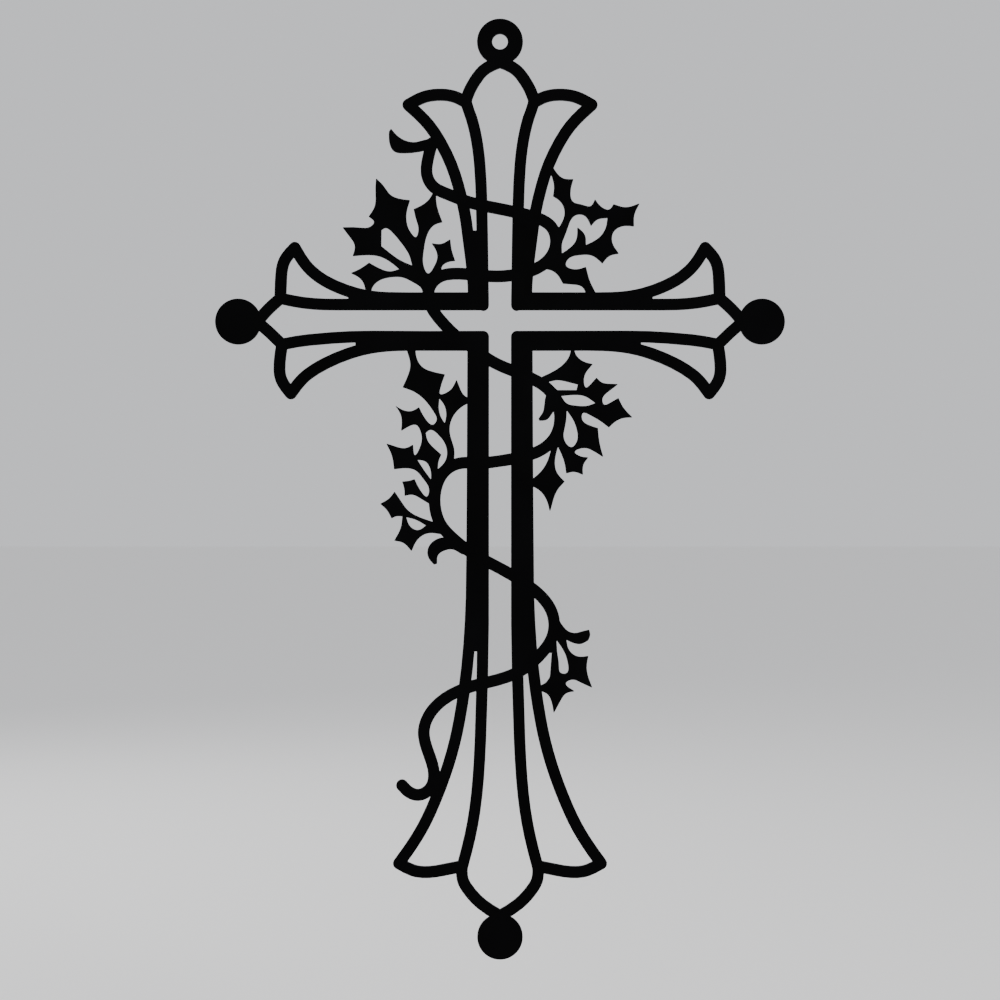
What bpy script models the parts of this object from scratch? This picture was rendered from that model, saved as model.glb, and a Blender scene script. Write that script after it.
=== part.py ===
"""A flat wall cross cut from one sheet of steel: an open frame with an ivy vine winding over it.

Lengths are metres. X runs to the right seen from the front, Y from front to back, and Z up.
The origin is the centre of the hanging hole on the back face, so the plate lies between
Y = -PLATE_THICKNESS and Y = 0.
"""
import math

import bmesh
import bpy
import numpy as np
from mathutils import Matrix

# The plate
PLATE_THICKNESS = 0.002
CUTTER_THICKNESSES = 3         # depth of the hole's cutter, so that it comes out of both faces

# How finely the outline is worked out
CURVE_STEP = 0.0003            # between the points worked out on a curve, before they are thinned
CHORD_ERROR = 0.00006          # how far a cut edge may stray from its true curve
WELD = 0.000002                # points closer than this are one
FLAT_ANGLE = 0.01              # facets that meet at less, in radians, are one flat face

# The frame, measured from the crossing of its four arms
TOP_REACH = 0.1395             # to the centre of the hanging ring
FOOT_REACH = 0.30825           # to the centre of the foot disc
SIDE_REACH = 0.131             # to the centre of a side disc
SIDE_DISC_DROP = 0.0005        # how far the side discs' centres lie below the crossing
TOP_FLARE = 0.0459             # from the middle line to the widest corner of the top arm
FOOT_FLARE = 0.0506
SIDE_FLARE = 0.0365
UPRIGHT_RAIL = 0.0085          # from the middle line to the middle of an inner rail
CROSS_RAIL = 0.00805
FRAME_STROKE = 0.0059          # width of the outer strokes
RAIL_STROKE = 0.0058           # width of the inner rails
RING_RADIUS = 0.0115
HANGING_HOLE_RADIUS = 0.0039
SIDE_DISC_RADIUS = 0.0115
FOOT_DISC_RADIUS = 0.0114

# The ivy
VINE_STROKE = 0.0059
IVY_SQUARE = 0.0005            # width of one square of the drawing sheet, for vine and leaves

# The drawing sheet: every free curve is drawn on it by column and row, with rows counted down
MIDDLE_COLUMN = 500
CROSSING_ROW = 320.5
RING_ROW = 41.5
FOOT_ROW = 937
SIDE_DISC_COLUMNS = 261.6      # columns from the middle to a side disc
TOP_FLARE_COLUMNS = 91.8
FOOT_FLARE_COLUMNS = 101.2
SIDE_FLARE_ROWS = 73
UPRIGHT_RAIL_COLUMNS = 17
CROSS_RAIL_ROWS = 16.1

CROSSING_HEIGHT = -TOP_REACH

# Frame curves on the sheet. The upright's are its right half, the cross arm's its left half.
TOP_ARCH = [(500, 61.6), (515.3, 69.1), (526.4, 82.8), (532.3, 95), (534, 102)]
TOP_PETAL = [(534, 102), (544, 97), (560, 94.4), (577, 97.1), (591.8, 104.6)]
TOP_SWEEP = [(591.8, 104.6), (571.4, 124.5), (557.4, 146), (547.7, 167), (540, 192), (534.9, 215),
             (530.8, 245), (527.7, 270), (526.4, 290), (526, 303)]
TOP_RAIL = [(534, 102), (528.2, 119), (522.5, 145), (519.5, 175), (518.2, 210), (517.5, 250), (516.9, 305)]
FOOT_SWEEP = [(601.2, 863.6), (588, 845), (576, 825), (564.5, 800), (552, 766), (543.6, 735),
              (538.5, 708), (534.4, 680), (530.5, 640), (528.5, 600), (527.8, 540), (527.3, 470),
              (526.8, 344)]
FOOT_RAIL = [(538, 868), (533.2, 850), (528, 827), (522.5, 787), (519.6, 740), (518, 690), (517, 640),
             (516.8, 570), (516.8, 336.6)]
FOOT_OGIVE = [(538, 868), (537.2, 880), (531.8, 890), (521.1, 902), (509.2, 910.8), (500, 916.3)]
FOOT_PETAL = [(601.2, 863.6), (585, 871.2), (565, 871.7), (545, 867.8), (538, 866.5)]
SIDE_OGIVE_ABOVE = [(258.4, 320.5), (268.4, 309.2), (279.6, 299)]
SIDE_OGIVE_BELOW = [(258.4, 322.3), (269.4, 332), (281.2, 343.4)]
SIDE_PETAL_ABOVE = [(280.5, 298.5), (281.2, 279), (284.5, 261), (295, 247.6)]
SIDE_PETAL_BELOW = [(282.3, 344), (279.8, 363), (281, 378), (291, 393.5)]
SIDE_SWEEP_ABOVE = [(295, 247.6), (307, 266), (320, 277.5), (340, 287.9), (362, 294.8), (380, 297.4),
                    (400, 298.1), (430, 298.1)]
SIDE_SWEEP_BELOW = [(291, 393.5), (303, 378.5), (320, 366.3), (345, 354.8), (370, 347.8), (400, 344.9),
                    (430, 344.8)]
SIDE_RAIL_ABOVE = [(280, 298.1), (300, 302.1), (320, 304.1), (345, 304.4), (400, 304.4)]
SIDE_RAIL_BELOW = [(282, 344.3), (300, 341), (320, 338.8), (350, 336.8), (400, 336.6)]
# Where each opening between a sweep and its rail ends, and the two run on as one bar. Side -1 is
# the left and 1 the right, and in the second of a pair 1 is above the crossing and -1 below it.
TOP_MERGE_ROWS = {-1: 230, 1: 215}      # on the right the vine ends the opening
FOOT_MERGE_ROWS = {-1: 652, 1: 670}
SIDE_MERGE_COLUMNS = {(-1, 1): 348, (-1, -1): 355, (1, 1): 347, (1, -1): 359}

# The vine's middle line from the top arm down to its free end. Its head stretches with the top arm
# and its tail with the foot, whose sweeps they touch.
VINE_HEAD = [(431.8, 143), (427.8, 159), (427.2, 176)]
VINE = [(434, 187), (446.3, 193.4), (463, 200), (482, 205.2), (500, 208.7), (520, 213), (537.8, 218),
        (551.3, 226.6), (556, 241), (552, 255), (540, 266.5), (522, 273.3), (500, 276.2), (477, 275),
        (455, 273.5), (438, 277.5), (429, 289), (430, 304), (441.5, 321.3), (456.3, 336), (472, 347.3),
        (489, 359.5), (511, 370), (533, 379), (549, 390), (558, 404.5), (560, 421), (554, 438.5),
        (541, 450), (522, 457), (500, 461), (478, 463), (460, 463.2), (445.3, 470.7), (436.3, 487),
        (435, 507), (441, 525), (453, 538.5), (471, 552.5), (500, 568.3), (521.5, 581), (540, 595.2),
        (552, 612.5), (553.2, 634), (541.5, 653.5), (522, 670), (500, 679.3), (473, 686.1)]
VINE_TAIL = [(447.3, 697.1), (429.6, 714.3), (423.8, 731), (428.6, 753.5), (433.9, 775.5), (430, 788.6),
             (418, 795.1), (408, 791.5), (402, 785.5)]

# Sprays of leaves. Each line is one smooth stretch that starts at a sharp point; the next line's
# first point ends it. The stretches that lie under the frame or the vine only close the outline.
UPPER_LEFT_SPRAY = [
    [(376, 178), (383, 185), (391, 195), (398, 198.2)],
    [(410, 200), (406.5, 213), (408, 227), (412, 234), (415.5, 237), (418.2, 231.5), (416.3, 220.5)],
    [(413.5, 209), (422, 205), (429.5, 198.5)],
    [(434, 190)],
    [(436, 191), (436.5, 203), (439, 213)],
    [(442.5, 222), (434, 225), (427, 235), (423.5, 252), (424, 267), (428, 273.3), (433.8, 266.8),
     (437.2, 255.5), (435, 248.5)],
    [(431.3, 243), (441, 243.7)],
    [(450.3, 239), (451.8, 250)],
    [(455.3, 260.8), (447.3, 262.2), (441.8, 266.8)],
    [(443, 274)],
    [(430, 287)],
    [(428, 301)],
    [(366, 301), (365.3, 289.5), (361, 279.5)],
    [(350.5, 273), (360, 268.7)],
    [(369, 262.5), (379, 268), (390, 271.2)],
    [(399, 269), (389, 261), (378, 256), (365, 255)],
    [(352.5, 256), (354.6, 246), (349, 236)],
    [(342.3, 227.2), (358, 227.3), (371, 226), (373.8, 222.5)],
    [(368.5, 216.5), (374.6, 206), (375.3, 190)],
]
UPPER_LEFT_WINDOWS = [
    [[(381.5, 230), (385, 228), (392, 232), (401, 242.5), (409, 255)],
     [(412, 265.3), (400, 260), (390, 253)],
     [(381.3, 246)]],
    [[(370.8, 297), (372, 288), (379, 280.5), (390, 277.2), (403, 277.5), (413, 282.2), (421, 288)],
     [(423, 297)]],
]
UPPER_RIGHT_SPRAY = [
    [(549, 160), (554.5, 169.5), (563, 178)],
    [(573.5, 179), (570.8, 190), (573, 201.5), (582, 204.5), (590.3, 206)],
    [(595, 199), (601, 206.3), (609, 209.3)],
    [(613.5, 204), (625, 207)],
    [(640, 203), (634.5, 215)],
    [(634, 226.3), (623, 226), (614, 231.5), (612, 240)],
    [(619, 253.5), (609.5, 256)],
    [(602.5, 263.5), (592, 255.5), (579, 255), (568, 259.3), (566, 265), (573, 269)],
    [(586, 266.7), (590, 281)],
    [(601, 301)],
    [(525, 301)],
    [(525, 271)],
    [(538, 262.5), (548, 253), (552, 241), (546, 229.5)],
    [(534, 220)],
    [(538, 188)],
]
UPPER_RIGHT_WINDOWS = [
    [[(551.5, 175), (554, 186)],
     [(553, 196), (560, 201), (564.4, 210), (563.3, 219)],
     [(559.5, 226.5)],
     [(553, 229)],
     [(538, 217)],
     [(541, 190)]],
    [[(562, 253.3), (562.3, 243), (566, 233), (569.5, 223), (575, 215.5), (583, 214.8)],
     [(591, 226), (597, 219.8)],
     [(607.5, 217.8), (605.5, 228), (600, 236.5)],
     [(586, 244.8), (585, 235)],
     [(577.3, 227), (576, 240)]],
    [[(529, 297)],
     [(529, 276), (538, 270.5), (547, 269.2), (555, 272.3)],
     [(563, 283.5), (573, 284.3), (581.8, 286.5)],
     [(587, 297)]],
]
MIDDLE_LEFT_SPRAY = [
    [(404.5, 343), (408, 354), (410.2, 365), (408, 375)],
    [(402.5, 387.3), (415, 392.3), (426, 401.5), (434, 412.5), (436.5, 420), (433, 424.5), (426, 419.5)],
    [(419, 407), (411, 411), (402, 409.5)],
    [(394.5, 405), (400.5, 414.5)],
    [(401, 431), (408, 426.8), (416, 425), (420.6, 432), (420.3, 446), (415, 455)],
    [(413, 444.5), (405, 448), (394.5, 446)],
    [(386, 443.3), (391.5, 455)],
    [(394, 469.3), (404, 468.3), (415, 470.3), (424, 480), (429, 491), (427, 496.3), (420.5, 490.5)],
    [(414.5, 479), (409, 480.7)],
    [(402, 481.5), (404, 488)],
    [(404.5, 496), (413, 495), (420, 498.3)],
    [(431, 505)],
    [(437, 523), (423, 518.5), (408.3, 510.5), (400.5, 500.5)],
    [(394.5, 491.5), (389, 498.3)],
    [(380, 503.7), (387, 510.5)],
    [(391.5, 518.5), (396, 516.5)],
    [(402.3, 516.5), (400.8, 527)],
    [(394, 540.7), (403, 543)],
    [(411.5, 551.3), (417, 540.5), (425, 534.3), (435, 533.3)],
    [(446, 536)],
    [(437.5, 517.5), (434.8, 500), (439, 481.5), (449.5, 468)],
    [(474, 463)],
    [(474, 400), (464, 395), (459.5, 387)],
    [(456.5, 379.3), (452, 388), (446, 392.7), (440.3, 394), (440.5, 387.5)],
    [(445, 374.3), (433, 371.7), (422, 366.5), (416.5, 357)],
    [(415.5, 343)],
]
MIDDLE_LEFT_WINDOWS = [
    [[(439.3, 398.5), (444, 405), (446, 417)],
     [(444.7, 423), (441, 417), (438.7, 407)]],
    [[(472, 401.5), (463, 406), (455, 413.5), (450, 425), (450.7, 437), (454.2, 449)],
     [(454, 461)],
     [(472, 461)]],
    [[(425.7, 433), (430, 430), (438, 434.5), (444.5, 443), (447, 453), (444.5, 462)],
     [(437.8, 469), (438.7, 461)],
     [(441.3, 454.5), (434, 448), (428, 441)]],
    [[(417.5, 460), (425, 461.5), (430.3, 469.5)],
     [(431, 479.5), (425, 471.5)]],
    [[(406.3, 517.3), (416, 520)],
     [(425.7, 525.5), (417.5, 530), (410.5, 526.7)]],
]
MIDDLE_RIGHT_SPRAY = [
    [(574, 343), (575.5, 353.5), (582, 360.5)],
    [(593, 364), (586.5, 372), (584, 381.5), (586, 387.3), (591, 383.7)],
    [(596.5, 377.5), (602, 382.3), (610, 383.7)],
    [(618.5, 384), (609, 391.3), (602.5, 400), (604, 404.3), (611, 402)],
    [(618.5, 397.8), (623, 406.7)],
    [(632.8, 417.5), (622, 418.5), (614, 422.8)],
    [(609, 427.5), (600, 420.7), (590, 415), (583, 413.2), (582, 418.5), (590, 425.4)],
    [(598, 428), (599.7, 443)],
    [(603.5, 457.3), (593, 450.8), (582, 448.3), (575, 452.3), (579, 455.5)],
    [(588.5, 457.3), (583.5, 465)],
    [(583, 475), (574, 472)],
    [(566.3, 473.5), (564, 461)],
    [(558, 446.8), (555.2, 459), (556.5, 471.3)],
    [(564.8, 481.5), (557, 491), (552.5, 503)],
    [(550, 512.3), (545.5, 498), (537, 488.7)],
    [(523, 484)],
    [(523, 456.5), (541, 450), (554.5, 438), (560.2, 418), (555, 398), (543, 384.5)],
    [(523, 374.8)],
    [(523, 343)],
]
MIDDLE_RIGHT_WINDOWS = [
    [[(571.5, 345), (569.3, 355.7), (560, 367), (549, 373.5)],
     [(541.5, 377)],
     [(526, 372)],
     [(526, 345)]],
    [[(548.3, 381.9), (558, 380.2), (568, 382)],
     [(577.8, 384.5)],
     [(576.5, 390)],
     [(557.5, 390)]],
    [[(561.3, 396), (572, 395), (584, 396)],
     [(595.3, 403), (587, 405.7), (576, 405.6), (567, 403.3)]],
    [[(566.8, 410.3), (573, 419.5), (577.3, 432), (576.5, 442), (571.5, 447), (566, 443), (563.8, 433),
      (565.7, 424)]],
    [[(551, 449.7), (547, 462), (541, 471.3)],
     [(528, 482)],
     [(526, 458)],
     [(541, 452)]],
]
LOWER_RIGHT_SPRAY = [
    [(550, 606), (556.7, 616.3), (562, 624.5), (568, 631), (576, 633), (583, 631.2)],
    [(589.3, 629.8), (590.2, 635)],
    [(588.2, 640.3), (581, 644), (573, 643)],
    [(566.5, 640), (569.3, 650), (577, 656.2)],
    [(588.5, 656), (586.8, 667), (588.7, 678)],
    [(592.5, 688), (581, 682.7), (571, 680), (566.3, 682.7)],
    [(575, 691.5), (566, 693.7), (560, 702)],
    [(553.7, 713.5), (551.8, 703), (548, 695)],
    [(534, 690)],
    [(528.5, 664)],
    [(541, 647.5), (549, 636), (550.5, 622)],
]
LOWER_RIGHT_WINDOWS = [
    [[(556.6, 640.3), (557.3, 652), (559, 665), (561, 673), (566, 673.5), (567.6, 662), (563.2, 650)]],
    [[(551.7, 653), (550.8, 665)],
     [(550, 676), (546.5, 682)],
     [(541, 685.5)],
     [(534, 684)],
     [(533, 666)],
     [(545, 653)]],
]
TOP_TENDRIL = [
    [(438, 137), (425, 139.6), (415, 142), (405, 140.3), (396.5, 134.8)],
    [(391, 128.5)],
    [(389, 131.5), (389.2, 142), (393.6, 150.8), (405, 153), (415, 152.3)],
    [(431, 149)],
]
LEFT_TENDRIL = [
    [(454, 541), (444, 537.5), (434.5, 540.3), (428.5, 547), (427.8, 556)],
    [(434, 564.7)],
    [(437, 563.8), (438.3, 555), (445, 550.5), (455, 550.3), (464, 554.7)],
    [(469, 553)],
]
RIGHT_SPUR = [
    [(547.3, 391.5), (544.8, 400), (543, 411.5)],
    [(538.5, 418.5)],
    [(539.3, 420.7), (547, 419.6), (554, 411)],
    [(560, 406)],
]

COATING_COLOUR = (0.012, 0.012, 0.013, 1)
COATING_ROUGHNESS = 0.55
COATING_METALLIC = 0.0


def clear_scene():
    for item in list(bpy.data.objects):
        bpy.data.objects.remove(item, do_unlink=True)


def black_coating():
    """Matt black powder coat."""
    material = bpy.data.materials.new("black_powder_coat")
    material.use_nodes = True
    shader = material.node_tree.nodes["Principled BSDF"]
    shader.inputs["Base Color"].default_value = COATING_COLOUR
    shader.inputs["Roughness"].default_value = COATING_ROUGHNESS
    shader.inputs["Metallic"].default_value = COATING_METALLIC
    return material


# Places on the plate, as (x, z) pairs

def height_of(row):
    """Height of a row, stretched so that the ring and the foot disc keep their reach."""
    return float(np.interp(row, (RING_ROW, CROSSING_ROW, FOOT_ROW),
                           (0, CROSSING_HEIGHT, CROSSING_HEIGHT - FOOT_REACH)))


def ivy_place(point):
    column, row = point
    return ((column - MIDDLE_COLUMN) * IVY_SQUARE, height_of(row))


def arm_place(point, flare, flare_columns):
    """A place on an upright arm, whose width outside the rails stretches with its flare."""
    column, row = point
    across = abs(column - MIDDLE_COLUMN)
    inside = min(across, UPRIGHT_RAIL_COLUMNS) / UPRIGHT_RAIL_COLUMNS
    outside = (across - UPRIGHT_RAIL_COLUMNS) / (flare_columns - UPRIGHT_RAIL_COLUMNS)
    width = inside * UPRIGHT_RAIL + max(outside, 0) * (flare - UPRIGHT_RAIL)
    return (math.copysign(width, column - MIDDLE_COLUMN), height_of(row))


def top_place(point):
    return arm_place(point, TOP_FLARE, TOP_FLARE_COLUMNS)


def foot_place(point):
    return arm_place(point, FOOT_FLARE, FOOT_FLARE_COLUMNS)


def cross_places(points, side):
    """Places on the left (side -1) or right (side 1) half of the cross arm."""
    rows = (-SIDE_FLARE_ROWS, -CROSS_RAIL_ROWS, CROSS_RAIL_ROWS, SIDE_FLARE_ROWS)
    heights = (SIDE_FLARE, CROSS_RAIL, -CROSS_RAIL, -SIDE_FLARE)
    reach = SIDE_REACH / SIDE_DISC_COLUMNS
    return [(side * (MIDDLE_COLUMN - column) * reach,
             CROSSING_HEIGHT + float(np.interp(row - CROSSING_ROW, rows, heights)))
            for column, row in points]


# Curves

def smooth_curve(points):
    """Points a short step apart on a natural cubic spline through the given ones."""
    knots = np.array(points, dtype=float)
    if len(knots) < 3:
        return knots
    chords = np.hypot(*np.diff(knots, axis=0).T)
    at = np.concatenate(([0], np.cumsum(chords)))
    count = len(knots)
    system = np.eye(count)
    slopes = np.zeros_like(knots)
    for i in range(1, count - 1):
        system[i, i - 1:i + 2] = (chords[i - 1], 2 * (chords[i - 1] + chords[i]), chords[i])
        slopes[i] = 6 * ((knots[i + 1] - knots[i]) / chords[i] - (knots[i] - knots[i - 1]) / chords[i - 1])
    bend = np.linalg.solve(system, slopes)
    samples = np.linspace(0, at[-1], max(2, int(at[-1] / CURVE_STEP)))
    span = np.clip(np.searchsorted(at, samples) - 1, 0, count - 2)
    after = (samples - at[span])[:, None]
    before = (at[span + 1] - samples)[:, None]
    chord = chords[span][:, None]
    return ((bend[span] * before ** 3 + bend[span + 1] * after ** 3) / (6 * chord)
            + (knots[span] / chord - bend[span] * chord / 6) * before
            + (knots[span + 1] / chord - bend[span + 1] * chord / 6) * after)


def thinned(points):
    """The fewest of an open line's points that keep it within the chord error."""
    points = np.asarray(points)
    keep = {0, len(points) - 1}
    spans = [(0, len(points) - 1)]
    while spans:
        first, last = spans.pop()
        if last - first < 2:
            continue
        chord = points[last] - points[first]
        inner = points[first + 1:last] - points[first]
        length = np.hypot(*chord)
        if length > 0:
            off = np.abs(chord[0] * inner[:, 1] - chord[1] * inner[:, 0]) / length
        else:
            off = np.hypot(*inner.T)
        worst = int(off.argmax())
        if off[worst] > CHORD_ERROR:
            middle = first + 1 + worst
            keep.add(middle)
            spans += [(first, middle), (middle, last)]
    return [tuple(points[i]) for i in sorted(keep)]


def arc(centre, radius, start, turn):
    """Points on an arc, close enough together for the chord error."""
    steps = max(3, math.ceil(abs(turn) / (2 * math.acos(1 - CHORD_ERROR / radius))))
    return [(centre[0] + radius * math.cos(start + turn * i / steps),
             centre[1] + radius * math.sin(start + turn * i / steps)) for i in range(steps + 1)]


def band(points, width):
    """Outline of a stroke of constant width with round ends, along a smooth middle line."""
    line = smooth_curve(points)
    run = np.gradient(line, axis=0)
    run /= np.hypot(*run.T)[:, None]
    aside = np.stack((-run[:, 1], run[:, 0]), axis=1) * width / 2
    left = thinned(line + aside)
    right = thinned(line - aside)
    far_cap = arc(line[-1], width / 2, math.atan2(*aside[-1][::-1]), -math.pi)
    near_cap = arc(line[0], width / 2, math.atan2(*-aside[0][::-1]), -math.pi)
    return left + far_cap[1:-1] + right[::-1] + near_cap[1:-1]


def cut_outline(stretches, place=ivy_place):
    """Outline whose stretches are smooth between their sharp first points."""
    outline = []
    for stretch, after in zip(stretches, stretches[1:] + stretches[:1]):
        points = [place(point) for point in stretch + after[:1]]
        outline += thinned(smooth_curve(points))[:-1]
    return outline


def disc(centre, radius):
    """A circle as four quarter arcs, so that it has a point at each of its extremes."""
    quarters = [arc(centre, radius, quarter * math.pi / 2, math.pi / 2)[:-1] for quarter in range(4)]
    return [point for quarter in quarters for point in quarter]


# The pieces of the outline, each a list with an outer loop first and its windows after it

def top_arm(side):
    def places(points):
        return [(side * x, z) for x, z in map(top_place, points)]
    sweep = places(TOP_SWEEP)
    rail = places(TOP_RAIL)
    yield [band(places(TOP_ARCH), FRAME_STROKE)]
    yield [band(places(TOP_PETAL), FRAME_STROKE)]
    yield [band(sweep, FRAME_STROKE)]
    yield [band(rail, RAIL_STROKE)]
    yield [merged_bar(sweep, rail, height_of(TOP_MERGE_ROWS[side]), axis=1)]


def foot_arm(side):
    def places(points):
        return [(side * x, z) for x, z in map(foot_place, points)]
    sweep = places(FOOT_SWEEP)
    rail = places(FOOT_RAIL)
    yield [band(places(FOOT_OGIVE), FRAME_STROKE)]
    yield [band(places(FOOT_PETAL), FRAME_STROKE)]
    yield [band(sweep, FRAME_STROKE)]
    yield [band(rail, RAIL_STROKE)]
    yield [merged_bar(sweep, rail, height_of(FOOT_MERGE_ROWS[side]), axis=1)]


def side_arm(side):
    halves = [(SIDE_OGIVE_ABOVE, SIDE_PETAL_ABOVE, SIDE_SWEEP_ABOVE, SIDE_RAIL_ABOVE, 1),
              (SIDE_OGIVE_BELOW, SIDE_PETAL_BELOW, SIDE_SWEEP_BELOW, SIDE_RAIL_BELOW, -1)]
    for ogive, petal, sweep, rail, up in halves:
        merge_columns = MIDDLE_COLUMN - SIDE_MERGE_COLUMNS[side, up]
        merge = side * merge_columns * SIDE_REACH / SIDE_DISC_COLUMNS
        rail_end = (side * UPRIGHT_RAIL, CROSSING_HEIGHT + up * CROSS_RAIL)
        sweep_line = cross_places(sweep, side)
        sweep_line.append((side * UPRIGHT_RAIL, sweep_line[-1][1]))
        rail_line = cross_places(rail, side) + [rail_end]
        yield [band(cross_places(ogive, side), FRAME_STROKE)]
        yield [band(cross_places(petal, side), FRAME_STROKE)]
        yield [band(sweep_line, FRAME_STROKE)]
        yield [band(rail_line, RAIL_STROKE)]
        yield [merged_bar(sweep_line, rail_line, merge, axis=0)]


def merged_bar(sweep, rail, start, axis):
    """Fill between two middle lines, from where they merge to their inner ends."""
    def inner_part(points):
        line = smooth_curve(points)
        inner_end = line[-1][axis]
        inside = (line[:, axis] - start) * np.sign(inner_end - start) >= 0
        return thinned(line[inside])
    return inner_part(sweep) + inner_part(rail)[::-1]


def frame_outlines():
    for side in (1, -1):
        yield from top_arm(side)
        yield from foot_arm(side)
        yield from side_arm(side)
        yield [disc((side * SIDE_REACH, CROSSING_HEIGHT - SIDE_DISC_DROP), SIDE_DISC_RADIUS)]
    yield [disc((0, CROSSING_HEIGHT - FOOT_REACH), FOOT_DISC_RADIUS)]
    yield [disc((0, 0), RING_RADIUS)]


def ivy_outlines():
    vine = [*map(top_place, VINE_HEAD), *map(ivy_place, VINE), *map(foot_place, VINE_TAIL)]
    yield [band(vine, VINE_STROKE)]
    sprays = [(UPPER_LEFT_SPRAY, UPPER_LEFT_WINDOWS), (UPPER_RIGHT_SPRAY, UPPER_RIGHT_WINDOWS),
              (MIDDLE_LEFT_SPRAY, MIDDLE_LEFT_WINDOWS), (MIDDLE_RIGHT_SPRAY, MIDDLE_RIGHT_WINDOWS),
              (LOWER_RIGHT_SPRAY, LOWER_RIGHT_WINDOWS)]
    for spray, windows in sprays:
        yield [cut_outline(spray)] + [cut_outline(window) for window in windows]
    yield [cut_outline(TOP_TENDRIL, top_place)]
    for shoot in (LEFT_TENDRIL, RIGHT_SPUR):
        yield [cut_outline(shoot)]


# Solids. They are drawn lying flat, with the front face up, and the finished plate is stood up last

def flat_solid(name, loops, collection, depth):
    """A closed solid of the given depth, from a filled flat curve."""
    curve = bpy.data.curves.new(name, "CURVE")
    curve.dimensions = "2D"
    curve.fill_mode = "BOTH"
    curve.extrude = depth / 2
    for loop in loops:
        spline = curve.splines.new("POLY")
        spline.points.add(len(loop) - 1)
        for point, (x, z) in zip(spline.points, loop):
            point.co = (x, z, 0, 1)
        spline.use_cyclic_u = True
    drawn = bpy.data.objects.new(name + "_curve", curve)
    collection.objects.link(drawn)
    depsgraph = bpy.context.evaluated_depsgraph_get()
    solid = bpy.data.objects.new(name, bpy.data.meshes.new_from_object(drawn.evaluated_get(depsgraph)))
    solid.matrix_world = drawn.matrix_world
    collection.objects.link(solid)
    bpy.data.objects.remove(drawn, do_unlink=True)
    weld(solid.data)
    return solid


def weld(mesh):
    edit = bmesh.new()
    edit.from_mesh(mesh)
    bmesh.ops.remove_doubles(edit, verts=edit.verts, dist=WELD)
    edit.to_mesh(mesh)
    edit.free()


def as_helper(solid):
    solid.hide_render = True
    solid.display_type = "WIRE"


def new_collection(name):
    collection = bpy.data.collections.new(name)
    bpy.context.scene.collection.children.link(collection)
    return collection


def joined_plate(name, parts):
    """One solid of every outline, drilled for the hanging hole."""
    joining = new_collection("joining_shapes")
    cutters = new_collection("cutters")
    first, *others = list(frame_outlines()) + list(ivy_outlines())
    plate = flat_solid(name, first, parts, PLATE_THICKNESS)
    for number, loops in enumerate(others):
        as_helper(flat_solid(f"shape_{number:02d}", loops, joining, PLATE_THICKNESS))
    join = plate.modifiers.new("join", "BOOLEAN")
    join.operation = "UNION"
    join.operand_type = "COLLECTION"
    join.collection = joining
    hole = flat_solid("hole_cutter", [disc((0, 0), HANGING_HOLE_RADIUS)], cutters,
                      CUTTER_THICKNESSES * PLATE_THICKNESS)
    as_helper(hole)
    drill = plate.modifiers.new("hanging_hole", "BOOLEAN")
    drill.operation = "DIFFERENCE"
    drill.object = hole
    return plate


def stand_up(plate):
    """Bake the joined plate, merge its flat facets and turn it upright, back face on Y = 0."""
    depsgraph = bpy.context.evaluated_depsgraph_get()
    mesh = bpy.data.meshes.new_from_object(plate.evaluated_get(depsgraph))
    plate.modifiers.clear()
    plate.data = mesh
    edit = bmesh.new()
    edit.from_mesh(mesh)
    bmesh.ops.remove_doubles(edit, verts=edit.verts, dist=WELD)
    bmesh.ops.dissolve_limit(edit, angle_limit=FLAT_ANGLE, verts=edit.verts, edges=edit.edges)
    bmesh.ops.triangulate(edit, faces=edit.faces)
    edit.to_mesh(mesh)
    edit.free()
    plate.matrix_world = (Matrix.Translation((0, -PLATE_THICKNESS / 2, 0))
                          @ Matrix.Rotation(math.pi / 2, 4, "X"))


def build_cross():
    plate = joined_plate("wall_cross", new_collection("wall_cross"))
    stand_up(plate)
    plate.data.materials.clear()
    plate.data.materials.append(black_coating())


clear_scene()
build_cross()
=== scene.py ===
"""Looks of the wall cross: the plate with softened edges in matt black powder coat, in a plain studio."""

import math

import bmesh
import bpy
import numpy as np
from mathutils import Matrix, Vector
from mathutils.geometry import delaunay_2d_cdt


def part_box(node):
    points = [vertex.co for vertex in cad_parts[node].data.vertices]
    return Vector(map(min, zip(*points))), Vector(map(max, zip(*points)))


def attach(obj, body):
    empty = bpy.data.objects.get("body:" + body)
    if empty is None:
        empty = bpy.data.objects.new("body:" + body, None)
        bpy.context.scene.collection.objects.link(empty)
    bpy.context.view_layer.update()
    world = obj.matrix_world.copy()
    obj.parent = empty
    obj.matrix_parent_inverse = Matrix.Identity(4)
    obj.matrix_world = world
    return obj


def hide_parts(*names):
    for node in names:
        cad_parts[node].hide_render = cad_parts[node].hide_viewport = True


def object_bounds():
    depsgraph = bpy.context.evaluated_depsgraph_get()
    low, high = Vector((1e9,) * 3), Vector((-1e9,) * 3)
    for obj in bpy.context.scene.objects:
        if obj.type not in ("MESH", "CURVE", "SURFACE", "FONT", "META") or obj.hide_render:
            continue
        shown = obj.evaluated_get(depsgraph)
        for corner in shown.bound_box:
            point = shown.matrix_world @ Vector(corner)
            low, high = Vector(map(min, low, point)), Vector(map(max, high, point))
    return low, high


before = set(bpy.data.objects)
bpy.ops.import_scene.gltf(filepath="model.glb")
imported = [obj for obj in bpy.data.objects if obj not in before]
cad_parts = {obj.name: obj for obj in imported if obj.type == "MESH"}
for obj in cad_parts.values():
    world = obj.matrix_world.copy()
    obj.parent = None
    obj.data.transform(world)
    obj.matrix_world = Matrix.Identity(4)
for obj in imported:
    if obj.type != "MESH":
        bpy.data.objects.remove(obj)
cad_low, cad_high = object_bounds()

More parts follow.
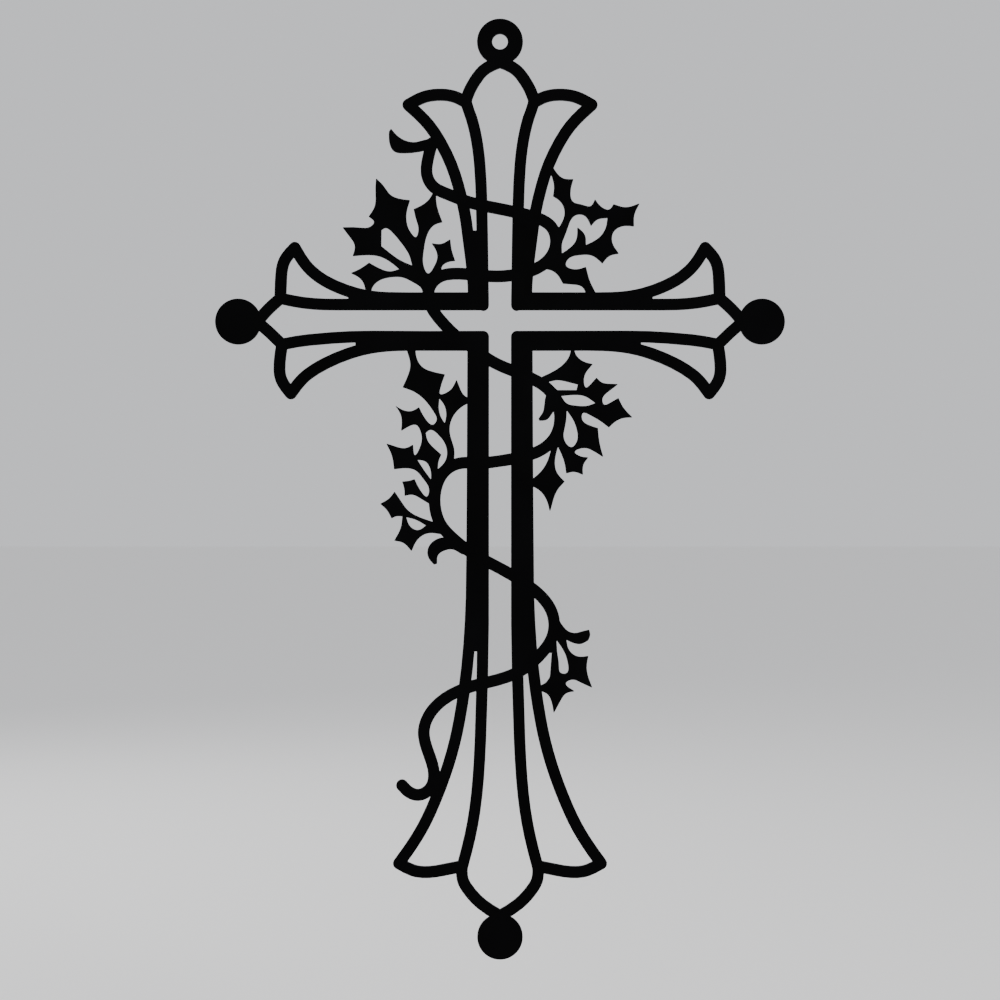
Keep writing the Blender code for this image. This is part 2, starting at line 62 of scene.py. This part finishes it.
# The plate's edge
EDGE_RADIUS = 0.00015               # the coat rounds every edge this much
EDGE_STEPS = 3                      # facets around each rounded edge
TIP_RADIUS = 0.00025                # the outline's outer corners are rounded a little more than the edges
NOTCH_RADIUS = 0.00015              # and its inner corners are as tight as the cutting beam
CORNER_TURN = math.radians(38)      # the outline has a corner where it turns more than this at one point
CORNER_SHARE = 0.45                 # the most of a facet that the rounding of one of its ends may take
CURVE_TURN = math.radians(7)        # arcs and curves are cut into steps that turn by about this much
SLIVER = 0.00025                    # facets shorter than this are left out
SLIVER_SHIFT = 0.00006              # where that moves the outline by less than this
WELD = 0.000002                     # points nearer together than this are one
FRONT_FACING = -0.9                 # a face whose normal's Y is less than this is part of the front
MILLIMETRES = 1000                  # the faces are filled in millimetres, which suit the fill better
FILL_INSIDE = 1                     # the fill's number for triangles inside the given edges
FILL_TOLERANCE = 0

# The coat
COAT_DARK = (0.0004, 0.0004, 0.0005, 1)
COAT_LIGHT = (0.0014, 0.0014, 0.0017, 1)
# painted highlight: the cut faces are coloured paler than the coat so that the plate's thickness shows from
# the side
CUT_FACE_PAINTED_HIGHLIGHT = (0.035, 0.035, 0.038, 1)
PAINTED_HIGHLIGHT_TURN = (0.95, 0.35)        # the normal's share along Y, from all coat colour to all painted highlight colour
COAT_SPECULAR = 0.03
CLOUD_SCALE = 28                    # noise scales are in repeats a metre
CLOUD_DETAIL = 5                    # and noise details in finer layers on top
CLOUD_RANGE = (0.3, 0.75)           # the noise values that are all dark and all light
GLOSS_SCALE = 420
GLOSS_DETAIL = 4
GLOSS_RANGE = (0.46, 0.66)          # lowest and highest roughness
PEEL_SCALE = 700
PEEL_DETAIL = 1
PEEL_DEPTH = 0.00006
PEEL_STRENGTH = 0.22
GRAIN_SCALE = 3200
GRAIN_DETAIL = 3
GRAIN_DEPTH = 0.00002
GRAIN_STRENGTH = 0.3

# The studio
FLOOR_GAP = 0.09                    # from the cross's foot down to the floor
FLOOR_SIZE = 30
FLOOR_COLOUR = (0.93, 0.925, 0.915, 1)
FLOOR_ROUGHNESS = 0.8
AIR_COLOUR = (0.86, 0.87, 0.9, 1)
AIR_STRENGTH = 0.85
SOFTBOXES = {                       # place, width and height, power in watts
    "key": ((1.1, -1.2, 0.9), (0.9, 0.9), 18),
    "fill": ((-1.4, -0.9, 0.1), (1.0, 1.0), 6),
    "back": ((-0.9, 1.3, 0.8), (0.9, 0.9), 14),
}
CAMERA_LENS = 85                    # millimetres
SENSOR = 36                         # millimetres across
FRAME_SQUARE = 0.5                  # metres of the cross's plane across the picture
PHOTO_MIDDLE = (0.0, -0.22925)      # the picture's middle, as X and Z from the hanging hole


def outline_loops(node):
    """The plate's front outline as closed loops of complex points, x + zi, with the metal on their left."""
    edit = bmesh.new()
    edit.from_mesh(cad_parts[node].data)
    bmesh.ops.remove_doubles(edit, verts=edit.verts, dist=WELD)
    following = {}
    for face in edit.faces:
        if face.normal.y > FRONT_FACING:
            continue
        for corner in face.loops:
            across = [other for other in corner.edge.link_faces if other != face]
            if across and across[0].normal.y > FRONT_FACING:
                following[corner.vert] = corner.link_loop_next.vert
    loops = []
    while following:
        start, vert = following.popitem()
        loop = [start]
        while vert != start:
            loop.append(vert)
            vert = following.pop(vert)
        loops.append(np.array([complex(v.co.x, v.co.z) for v in loop]))
    edit.free()
    return loops


def without_slivers(loop):
    """The loop without the points that only end a very short facet and hardly shape the outline."""
    while True:
        before = loop - np.roll(loop, 1)
        after = np.roll(loop, -1) - loop
        chord = before + after
        shift = np.abs((before.conj() * chord).imag) / np.abs(chord)
        shift[np.minimum(np.abs(before), np.abs(after)) > SLIVER] = np.inf
        if shift.min() > SLIVER_SHIFT:
            return loop
        loop = np.delete(loop, shift.argmin())


def with_round_corners(loop):
    """The loop with an arc in place of each sharp corner."""
    before = loop - np.roll(loop, 1)
    after = np.roll(loop, -1) - loop
    rounded = []
    for point, arriving, leaving in zip(loop, before, after):
        turn = np.angle(leaving / arriving)
        if abs(turn) < CORNER_TURN:
            rounded.append(point)
            continue
        slope = math.tan(abs(turn) / 2)
        reach = min((TIP_RADIUS if turn > 0 else NOTCH_RADIUS) * slope,
                    CORNER_SHARE * abs(arriving), CORNER_SHARE * abs(leaving))
        heading = arriving / abs(arriving)
        start = point - reach * heading
        centre = start + math.copysign(reach / slope, turn) * 1j * heading
        steps = math.ceil(abs(turn) / CURVE_TURN)
        rounded += [centre + (start - centre) * np.exp(1j * turn * k / steps) for k in range(steps + 1)]
    return np.array(rounded)


def smoothed(loop):
    """The loop with its facets bent into cubic curves, which cross each point along its neighbours' line."""
    heading = np.roll(loop, -1) - np.roll(loop, 1)
    heading /= np.abs(heading)
    finished = []
    for start, end, leaving, arriving in zip(loop, np.roll(loop, -1), heading, np.roll(heading, -1)):
        length = abs(end - start)
        steps = max(1, math.ceil(abs(np.angle(arriving / leaving)) / CURVE_TURN))
        for s in np.arange(steps) / steps:
            finished.append((1 + 2 * s) * (1 - s) ** 2 * start + s * (1 - s) ** 2 * length * leaving
                            + s ** 2 * (3 - 2 * s) * end - s ** 2 * (1 - s) * length * arriving)
    return np.array(finished)


def inward(loop):
    """For each point, the step that moves both lines that meet there into the metal by one."""
    ahead = np.roll(loop, -1) - loop
    left = 1j * ahead / np.abs(ahead)
    behind = np.roll(left, 1)
    return (left + behind) / (1 + (left * behind.conj()).real)


def in_metal(places, loops):
    """Whether each place is inside an odd number of the loops."""
    crossings = np.zeros(len(places), int)
    for loop in loops:
        for a, b in zip(loop, np.roll(loop, -1)):
            spans = (a.imag > places.imag) != (b.imag > places.imag)
            climb = b.imag - a.imag or 1        # a level edge spans no place, so any divisor does
            right = places.real < a.real + (places.imag - a.imag) * (b.real - a.real) / climb
            crossings += spans & right
    return crossings % 2 == 1


def steps_along(loops):
    """Each point and the one after it on its loop, as pairs of indices into all the loops' points in turn."""
    pairs = []
    for loop in loops:
        first = len(pairs)
        pairs += [(first + i, first + (i + 1) % len(loop)) for i in range(len(loop))]
    return pairs


def filled(loops):
    """Triangles that fill the metal between the loops, as indices into all their points in turn."""
    points = np.concatenate(loops) * MILLIMETRES
    _, _, faces, sources, _, _ = delaunay_2d_cdt([Vector((p.real, p.imag)) for p in points],
                                                 steps_along(loops), [], FILL_INSIDE, FILL_TOLERANCE)
    triangles = np.array([[sources[i][0] for i in face] for face in faces])
    centres = points[triangles].mean(axis=1) / MILLIMETRES
    return triangles[in_metal(centres, loops)]


def coated_plate(name, node):
    """The plate as one closed mesh with rounded edges, inside the box of the solid that it stands for."""
    low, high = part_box(node)
    loops = [smoothed(with_round_corners(without_slivers(loop))) for loop in outline_loops(node)]
    insets = [inward(loop) for loop in loops]
    quarter = [(EDGE_RADIUS * (1 - math.sin(a)), EDGE_RADIUS * (1 - math.cos(a)))
               for a in np.linspace(0, math.pi / 2, EDGE_STEPS + 1)]
    profile = ([(inset, low[1] + depth) for inset, depth in quarter]
               + [(inset, high[1] - depth) for inset, depth in reversed(quarter)])

    verts = []
    for inset, y in profile:
        for loop, step in zip(loops, insets):
            verts += [(p.real, y, p.imag) for p in loop + inset * step]
    count = sum(len(loop) for loop in loops)
    last = (len(profile) - 1) * count
    pairs = steps_along(loops)
    rim = [(ring + i, ring + count + i, ring + count + j, ring + j)
           for ring in range(0, last, count) for i, j in pairs]
    caps = filled([loop + EDGE_RADIUS * step for loop, step in zip(loops, insets)])
    back = caps[:, ::-1] + last

    mesh = bpy.data.meshes.new(name)
    mesh.from_pydata(verts, [], rim + caps.tolist() + back.tolist())
    mesh.polygons.foreach_set("use_smooth", [True] * len(rim) + [False] * (2 * len(caps)))
    plate = bpy.data.objects.new(name, mesh)
    bpy.context.collection.objects.link(plate)
    return plate


def noise(tree, place, scale, detail):
    """A noise that runs from nought to one."""
    node = tree.nodes.new("ShaderNodeTexNoise")
    node.inputs["Scale"].default_value = scale
    node.inputs["Detail"].default_value = detail
    tree.links.new(place, node.inputs["Vector"])
    return node.outputs["Fac"]


def bump(tree, height, strength, depth):
    """A relief of the given depth, in metres, where the height is one."""
    node = tree.nodes.new("ShaderNodeBump")
    node.inputs["Strength"].default_value = strength
    node.inputs["Distance"].default_value = depth
    tree.links.new(height, node.inputs["Height"])
    return node


def painted_highlight_mask(tree):
    """Where the painted highlight goes: one on the plate's cut faces and nought on its front and back, by the
    way that the surface faces.
    """
    across = tree.nodes.new("ShaderNodeSeparateXYZ")
    tree.links.new(tree.nodes.new("ShaderNodeTexCoord").outputs["Normal"], across.inputs["Vector"])
    size = tree.nodes.new("ShaderNodeMath")
    size.operation = "ABSOLUTE"
    tree.links.new(across.outputs["Y"], size.inputs[0])
    share = tree.nodes.new("ShaderNodeMapRange")
    share.inputs["From Min"].default_value, share.inputs["From Max"].default_value = PAINTED_HIGHLIGHT_TURN
    tree.links.new(size.outputs["Value"], share.inputs["Value"])
    return share.outputs["Result"]


def powder_coat():
    """Matt black powder coat: faintly cloudy, with orange peel and a fine grain, and a painted highlight that
    makes the cut faces paler.
    """
    material = bpy.data.materials.new("black_powder_coat")
    material.use_nodes = True
    tree = material.node_tree
    shader = tree.nodes["Principled BSDF"]
    shader.inputs["Specular IOR Level"].default_value = COAT_SPECULAR
    place = tree.nodes.new("ShaderNodeTexCoord").outputs["Object"]

    colour = tree.nodes.new("ShaderNodeValToRGB")
    for element, position, tone in zip(colour.color_ramp.elements, CLOUD_RANGE, (COAT_DARK, COAT_LIGHT)):
        element.position = position
        element.color = tone
    tree.links.new(noise(tree, place, CLOUD_SCALE, CLOUD_DETAIL), colour.inputs["Fac"])
    # the cut faces get the painted highlight in place of the coat's colour
    highlighted = tree.nodes.new("ShaderNodeMix")
    highlighted.data_type = "RGBA"
    tree.links.new(painted_highlight_mask(tree), highlighted.inputs["Factor"])
    tree.links.new(colour.outputs["Color"], highlighted.inputs["A"])
    highlighted.inputs["B"].default_value = CUT_FACE_PAINTED_HIGHLIGHT
    tree.links.new(highlighted.outputs["Result"], shader.inputs["Base Color"])

    gloss = tree.nodes.new("ShaderNodeMapRange")
    gloss.inputs["To Min"].default_value, gloss.inputs["To Max"].default_value = GLOSS_RANGE
    tree.links.new(noise(tree, place, GLOSS_SCALE, GLOSS_DETAIL), gloss.inputs["Value"])
    tree.links.new(gloss.outputs["Result"], shader.inputs["Roughness"])

    peel = bump(tree, noise(tree, place, PEEL_SCALE, PEEL_DETAIL), PEEL_STRENGTH, PEEL_DEPTH)
    grain = bump(tree, noise(tree, place, GRAIN_SCALE, GRAIN_DETAIL), GRAIN_STRENGTH, GRAIN_DEPTH)
    tree.links.new(peel.outputs["Normal"], grain.inputs["Normal"])
    tree.links.new(grain.outputs["Normal"], shader.inputs["Normal"])
    return material


def plain_material(name, colour, roughness):
    material = bpy.data.materials.new(name)
    material.use_nodes = True
    shader = material.node_tree.nodes["Principled BSDF"]
    shader.inputs["Base Color"].default_value = colour
    shader.inputs["Roughness"].default_value = roughness
    return material


def add_floor(height):
    bpy.ops.mesh.primitive_plane_add(size=FLOOR_SIZE, location=(0, 0, height))
    floor = bpy.context.object
    floor.name = "studio_floor"
    floor.data.materials.append(plain_material("pale_floor", FLOOR_COLOUR, FLOOR_ROUGHNESS))


def add_air():
    world = bpy.data.worlds.new("studio_air")
    world.use_nodes = True
    background = world.node_tree.nodes["Background"]
    background.inputs["Color"].default_value = AIR_COLOUR
    background.inputs["Strength"].default_value = AIR_STRENGTH
    bpy.context.scene.world = world


def add_softbox(name, place, target, size, power):
    """A rectangular area light at the place, turned towards the target."""
    lamp = bpy.data.lights.new(name, "AREA")
    lamp.shape = "RECTANGLE"
    lamp.size, lamp.size_y = size
    lamp.energy = power
    fitting = bpy.data.objects.new(name, lamp)
    fitting.location = place
    fitting.rotation_euler = (target - Vector(place)).to_track_quat("-Z", "Y").to_euler()
    bpy.context.collection.objects.link(fitting)


def add_camera(front):
    """A camera that looks straight at the front, as far away as frames the picture's square."""
    lens = bpy.data.cameras.new("camera")
    lens.lens = CAMERA_LENS
    lens.sensor_width = SENSOR
    camera = bpy.data.objects.new("camera", lens)
    camera.location = (PHOTO_MIDDLE[0], front - FRAME_SQUARE * CAMERA_LENS / SENSOR, PHOTO_MIDDLE[1])
    camera.rotation_euler = (math.pi / 2, 0, 0)
    bpy.context.collection.objects.link(camera)
    bpy.context.scene.camera = camera


def studio(low, high):
    """Floor, air, softboxes and camera around the box of the cross."""
    add_floor(low.z - FLOOR_GAP)
    add_air()
    for name, (place, size, power) in SOFTBOXES.items():
        add_softbox(name, place, (low + high) / 2, size, power)
    add_camera(low.y)


plate = coated_plate("coated_cross", "wall_cross")
plate.data.materials.append(powder_coat())
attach(plate, "root")
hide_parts("wall_cross")
studio(cad_low, cad_high)
